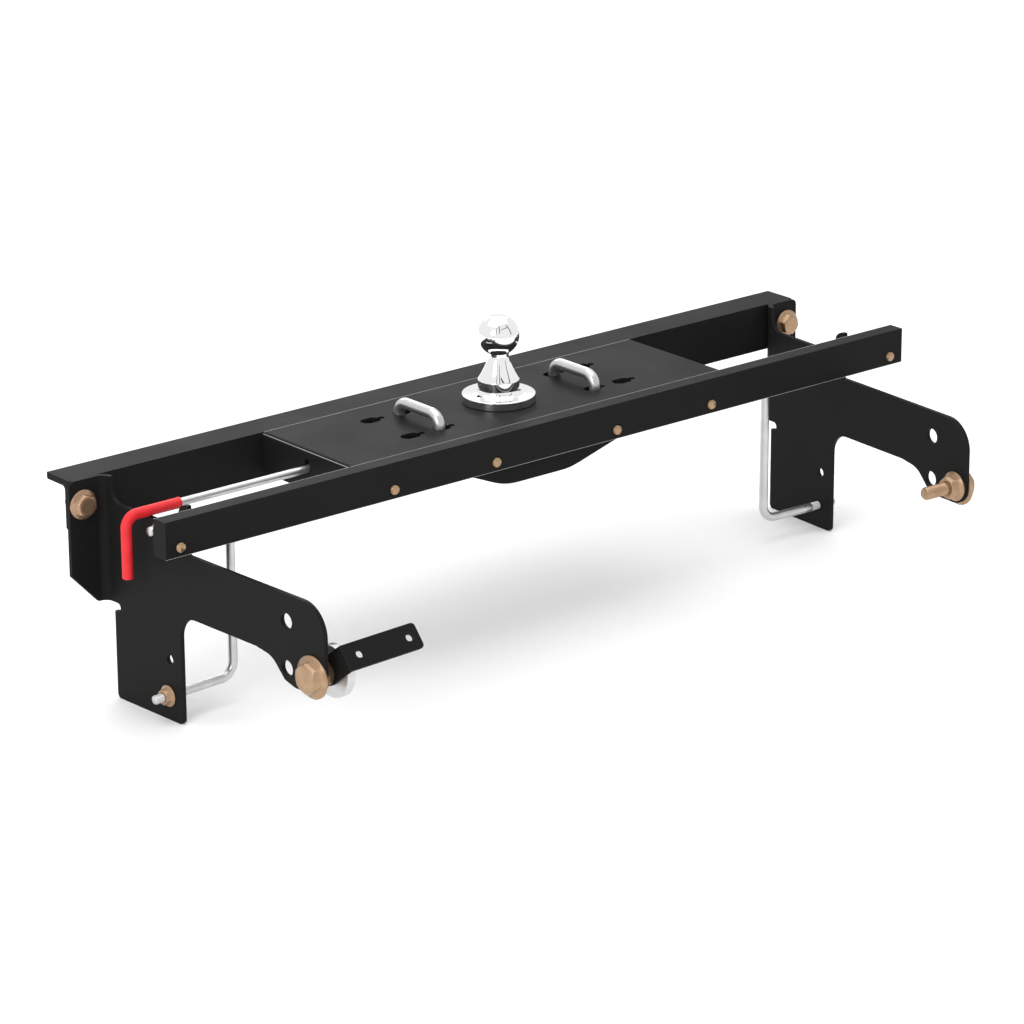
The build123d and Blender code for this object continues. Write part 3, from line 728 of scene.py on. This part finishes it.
def ballPiece():
    low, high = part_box("hitch_ball")
    ball = {"radius": 29.35, "centre": 95.75, "flat": 14.5, "waist": 14.25, "waistLow": 66.5,
            "topRound": 1.5, "flatEdge": 0.6, "ballSteps": 90, "sides": 192,
            "bell": 29.0, "bellTop": 33.0, "bellEdge": 1.2, "bellTurn": 50, "sweep": 1.45, "sweepSteps": 32,
            "ring": (high.x - low.x) / 2 / mm, "ringT": 12.5, "ringFoot": 1.0, "ringEdge": 1.6,
            "fillet": 8.0, "filletLead": 1, "shank": 30.0, "shankLow": -84.0, "taper": 10, "lead": 0.5,
            "leadUp": 1, "nose": 20.0, "noseEdge": 2.5, "noseLow": low.z / mm,
            "groove": 22.0, "grooveHalf": 9.0, "grooveRun": 5.0, "grooveZ": -27.0}
    topAngle = math.degrees(math.acos(ball["flat"] / ball["radius"]))
    lowAngle = -math.degrees(math.acos(ball["waist"] / ball["radius"]))
    ring, top = ball["ring"], ball["ringT"]
    edge = ball["noseEdge"]
    outline = [(0, ball["noseLow"]), (ball["nose"] - edge, ball["noseLow"])]
    outline += arcPoints(ball["nose"] - edge, ball["noseLow"] + edge, edge, -90, 0, 5)
    outline += [(ball["nose"], ball["shankLow"] - ball["taper"]),
                (ball["shank"] - ball["lead"], ball["shankLow"]),
                (ball["shank"], ball["shankLow"] + ball["leadUp"])]
    wide, deep = ball["grooveHalf"] + ball["grooveRun"], ball["grooveHalf"]
    outline += [(ball["shank"], ball["grooveZ"] - wide), (ball["groove"], ball["grooveZ"] - deep),
                (ball["groove"], ball["grooveZ"] + deep), (ball["shank"], ball["grooveZ"] + wide)]
    outline += [(ball["shank"], 0.0), (ring - ball["ringFoot"], 0.0), (ring, ball["ringFoot"])]
    edge = ball["ringEdge"]
    outline += arcPoints(ring - edge, top - edge, edge, 0, 90, 6)
    outline += [(ball["bell"] + ball["fillet"] + ball["filletLead"], top)]
    foot = ball["fillet"]
    outline += arcPoints(ball["bell"] + foot, top + foot, foot, -90, -180, 10)[1:]
    edge = ball["bellEdge"]
    outline += arcPoints(ball["bell"] - edge, ball["bellTop"] - edge, edge, 0, ball["bellTurn"], 4)
    start, end = outline[-1], (ball["waist"], ball["waistLow"])
    for k in range(1, ball["sweepSteps"] + 1):
        t = k / ball["sweepSteps"]
        pull = 1 - (1 - t) ** ball["sweep"]
        outline.append((start[0] + (end[0] - start[0]) * pull, start[1] + (end[1] - start[1]) * t))
    outline += arcPoints(0, ball["centre"], ball["radius"], lowAngle, topAngle - ball["topRound"],
                         ball["ballSteps"])
    crest = ball["centre"] + ball["radius"] * math.sin(math.radians(topAngle))
    outline += [(ball["flat"] - ball["flatEdge"], crest), (0, crest)]
    outline = [(radius * mm, height * mm) for radius, height in outline]
    piece = turned("hitchBallFinished", outline, ball["sides"])
    notch = {"long": 10 * mm, "wide": 4.4 * mm, "deep": 3 * mm, "out": 35 * mm}
    bpy.ops.mesh.primitive_cube_add(size=1, location=(-notch["out"], 0, top * mm))
    cutter = bpy.context.object
    cutter.scale = (notch["wide"], notch["long"], notch["deep"] * 2)
    cut = piece.modifiers.new("notch", "BOOLEAN")
    cut.object = cutter
    cut.solver = "EXACT"
    plainMesh(piece)
    bpy.data.objects.remove(cutter)
    finishPiece(piece, nodeBody["hitch_ball"], "chrome", "hitch_ball")
    print("ball turned with", len(outline), "outline points")


ballPiece()


def chainLoops():
    loop = {"rod": 15.9 * mm, "bend": 17 * mm, "pitch": 1.95 * mm, "thread": 16 * mm,
            "step": 1.5 * mm, "sides": 32}
    radius = loop["rod"] / 2
    for side in ("left", "right"):
        node = "loop_" + side
        low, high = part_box(node)
        x = (low.x + high.x) / 2
        front, rear, top = low.y + radius, high.y - radius, high.z - radius
        path = bentPath([(x, front, low.z), (x, front, top), (x, rear, top), (x, rear, low.z)],
                        loop["bend"], loop["step"])
        shape = bmesh.new()
        profile = rodRadius(radius, loop["pitch"], loop["thread"], loop["thread"])
        sweptRod(shape, fineEnds(path, loop["thread"], loop["pitch"] / 6), profile, loop["sides"])
        piece = link(node + "Finished", meshFrom(node + "Finished", shape))
        finishPiece(piece, nodeBody[node], slotOf[node], node)
        loopNuts(side, x, front, rear)
    print("chain loops")


def loopNuts(side, x, front, rear):
    nut = {"across": 24 * mm, "height": 7 * mm, "washer": 32 * mm, "washerT": 2.5 * mm,
           "washerSides": 48, "bore": 15.4 * mm}
    node = "loop_nuts_" + side
    low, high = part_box(node)
    shape = bmesh.new()
    hexShape(shape, nut["across"], nut["height"], boreD=nut["bore"])
    washerPath = [Vector((0, 0, nut["height"])), Vector((0, 0, nut["height"] + nut["washerT"]))]
    sweptRod(shape, washerPath, lambda travelled, total, around: nut["washer"] / 2, nut["washerSides"])
    prototype = link("loopNut", meshFrom("loopNut", shape))
    seats = [Vector((x, y, low.z)) for y in (front, rear)]
    fastenerRow(node + "Finished", prototype, seats, (0, 0, 1), node)
    bpy.data.objects.remove(prototype)


chainLoops()


def springTree():
    tree, source, result = newTree("loopSpring", [
        ("Turns", "NodeSocketFloat"), ("Coil Radius", "NodeSocketFloat"), ("Length", "NodeSocketFloat"),
        ("Wire Radius", "NodeSocketFloat"), ("Finish", "NodeSocketMaterial")])
    spiral = treeNode(tree, "GeometryNodeCurveSpiral", {}, {
        "Resolution": 40, "Rotations": source.outputs["Turns"], "Height": source.outputs["Length"],
        "Start Radius": source.outputs["Coil Radius"], "End Radius": source.outputs["Coil Radius"]})
    wire = treeNode(tree, "GeometryNodeCurvePrimitiveCircle", {}, {
        "Resolution": 14, "Radius": source.outputs["Wire Radius"]})
    swept = treeNode(tree, "GeometryNodeCurveToMesh", {}, {
        "Curve": spiral.outputs[0], "Profile Curve": wire.outputs["Curve"], "Fill Caps": True})
    points = treeNode(tree, "GeometryNodeMeshToPoints", {}, {"Mesh": source.outputs["Geometry"]})
    placed = treeNode(tree, "GeometryNodeInstanceOnPoints", {}, {
        "Points": points.outputs[0], "Instance": swept.outputs[0]})
    closeTree(tree, result, placed.outputs[0], source.outputs["Finish"])
    return tree


def loopSprings():
    spring = {"turns": 4.5, "coil": 26 * mm, "wire": 2.6 * mm, "lift": 15 * mm}
    tree = springTree()
    for side in ("left", "right"):
        node = "springs_" + side
        boxes = islands(node)
        low, high = boxes[0]
        length = high.z - low.z - spring["wire"]
        mesh = bpy.data.meshes.new(node)
        centres = [((a.x + b.x) / 2, (a.y + b.y) / 2, low.z + spring["wire"] / 2) for a, b in boxes]
        mesh.from_pydata(centres, [], [])
        piece = link(node + "Finished", mesh)
        modifier = piece.modifiers.new("spring", "NODES")
        modifier.node_group = tree
        setInputs(modifier, tree, {
            "Turns": spring["turns"], "Coil Radius": (spring["coil"] - spring["wire"]) / 2,
            "Length": length, "Wire Radius": spring["wire"] / 2, "Finish": looks["spring_steel"]})
        plainMesh(piece)
        finishPiece(piece, nodeBody[node], slotOf[node], node)
        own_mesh(piece)
    print("springs under the loops")


loopSprings()


def lockRod():
    rod = {"size": 11 * mm, "bend": 17 * mm, "step": 2 * mm, "tuck": 1 * mm,
           "pin": 16 * mm, "pinStep": 1 * mm, "pinEdge": 2 * mm, "pinSides": 40}
    low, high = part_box("lock_rod")
    gripLow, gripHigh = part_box("handle_grip")
    collarLow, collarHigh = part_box("rod_collar")
    height = (collarLow.z + collarHigh.z) / 2
    radius = rod["size"] / 2
    dropX = low.x + radius
    shape = bmesh.new()
    path = bentPath([(collarHigh.x - rod["tuck"], 0, height), (dropX, 0, height), (dropX, 0, low.z)],
                    rod["bend"], rod["step"])
    sweptRod(shape, path, lambda travelled, total, around: radius)
    pin = bentPath([(high.x, 0, height), (collarHigh.x, 0, height)], rod["bend"], rod["pinStep"])
    plain = rodRadius(rod["pin"] / 2, pitch=1, startThread=0, endThread=0, chamfer=rod["pinEdge"])
    sweptRod(shape, pin, plain, rod["pinSides"])
    piece = link("lockRodFinished", meshFrom("lockRodFinished", shape))
    finishPiece(piece, nodeBody["lock_rod"], "plated_rod", "lock_rod")
    softEdged("rod_collar", 0.6 * mm)
    grip = {"size": gripHigh.y - gripLow.y, "cuff": 3 * mm, "cuffEdge": 0.8 * mm, "below": 0.3 * mm,
            "roundEnd": 3 * mm, "least": 0.5 * mm, "step": 1.2 * mm, "endRun": 4 * mm, "endStep": 0.4 * mm,
            "sides": 40}

    def gripRadius(travelled, total, around):
        left = total - travelled
        size = grip["size"] / 2 - grip["below"]
        if travelled < grip["cuff"]:
            size = grip["size"] / 2 - max(grip["cuffEdge"] - travelled, 0)
        if left < grip["roundEnd"]:
            dip = grip["roundEnd"] - left
            size -= grip["roundEnd"] - math.sqrt(max(grip["roundEnd"] ** 2 - dip ** 2, 0))
        return max(size, grip["least"])

    shape = bmesh.new()
    path = bentPath([(gripHigh.x, 0, height), (dropX, 0, height), (dropX, 0, gripLow.z)],
                    rod["bend"], grip["step"])
    sweptRod(shape, fineEnds(path, grip["endRun"], grip["endStep"]), gripRadius, grip["sides"])
    piece = link("handleGripFinished", meshFrom("handleGripFinished", shape))
    finishPiece(piece, nodeBody["handle_grip"], "red_grip", "handle_grip")
    print("lock rod, collar and grip")


lockRod()


def softBox(name, place, target, size, power):
    light = bpy.data.lights.new(name, "AREA")
    light.shape = "RECTANGLE"
    light.size, light.size_y = size
    light.energy = power
    lamp = bpy.data.objects.new(name, light)
    lamp.location = place
    lamp.rotation_euler = (Vector(target) - Vector(place)).to_track_quat("-Z", "Y").to_euler()
    bpy.context.scene.collection.objects.link(lamp)


def buildSet():
    studio = {
        "floor": 60, "paper": (0.93, 0.93, 0.93, 1), "sky": 0.95,
        "lights": {
            "overhead": {"place": (0, 0.4, 3.0), "target": (0, 0, 0), "size": (4.6, 3.4), "power": 60},
            "sideKey": {"place": (-3.4, -1.2, 1.6), "target": (0, 0, -0.1), "size": (1.4, 1.8), "power": 34},
            "rearStrip": {"place": (1.5, 3.4, 1.8), "target": (0, 0, 0), "size": (3.0, 0.8), "power": 30},
        },
        "cards": (
            {"place": (-1.2, -1.9, 2.4), "size": (0.22, 3.2)},
            {"place": (-2.2, -1.7, 2.2), "size": (0.16, 2.6)},
            {"place": (0.3, -2.6, 2.5), "size": (3.0, 0.2)},
            {"place": (1.6, -2.4, 1.6), "size": (0.3, 3.0)},
        ),
    }
    floorHeight = cadBox[0][2]
    bpy.ops.mesh.primitive_plane_add(size=studio["floor"], location=(0, 0, floorHeight))
    floor = bpy.context.object
    floor.name = "floor"
    paper = Finish("paper", Roughness=0.9, Base_Color=studio["paper"])
    floor.data.materials.append(paper.material)
    world = bpy.data.worlds.new("studio")
    bpy.context.scene.world = world
    world.use_nodes = True
    background = world.node_tree.nodes["Background"]
    background.inputs["Color"].default_value = (1, 1, 1, 1)
    background.inputs["Strength"].default_value = studio["sky"]
    for name, light in studio["lights"].items():
        softBox(name, **light)
    for card in studio["cards"]:
        darkCard(**card)


# a card seen only in reflections, turned towards the middle of the part
def darkCard(place, size):
    bpy.ops.mesh.primitive_plane_add(size=1, location=place)
    card = bpy.context.object
    card.name = "card"
    card.scale = (*size, 1)
    card.rotation_euler = (-Vector(place)).to_track_quat("Z", "Y").to_euler()
    velvet = Finish("velvet", Roughness=0.9, Base_Color=(0.05, 0.05, 0.05, 1))
    card.data.materials.append(velvet.material)
    card.visible_camera = False
    card.visible_shadow = False
    card.visible_diffuse = False


def aimCamera():
    view = {"azimuth": -39.67, "down": 19.29, "roll": -0.26, "lens": 155.2,
            "place": (-3.6976, -4.4862, 1.8715)}
    azimuth, down, roll = (math.radians(view[key]) for key in ("azimuth", "down", "roll"))
    forward = Vector((-math.sin(azimuth) * math.cos(down), math.cos(azimuth) * math.cos(down),
                      -math.sin(down)))
    right = Vector((math.cos(azimuth), math.sin(azimuth), 0))
    up = right.cross(forward)
    across = right * math.cos(roll) + up * math.sin(roll)
    above = up * math.cos(roll) - right * math.sin(roll)
    data = bpy.data.cameras.new("camera")
    data.lens = view["lens"]
    data.sensor_width = 36
    data.clip_end = 100
    camera = bpy.data.objects.new("camera", data)
    turn = Matrix((across, above, -forward)).transposed().to_4x4()
    camera.matrix_world = Matrix.Translation(view["place"]) @ turn
    bpy.context.scene.collection.objects.link(camera)
    bpy.context.scene.camera = camera


buildSet()
aimCamera()
bpy.context.scene.view_settings.view_transform = "Standard"
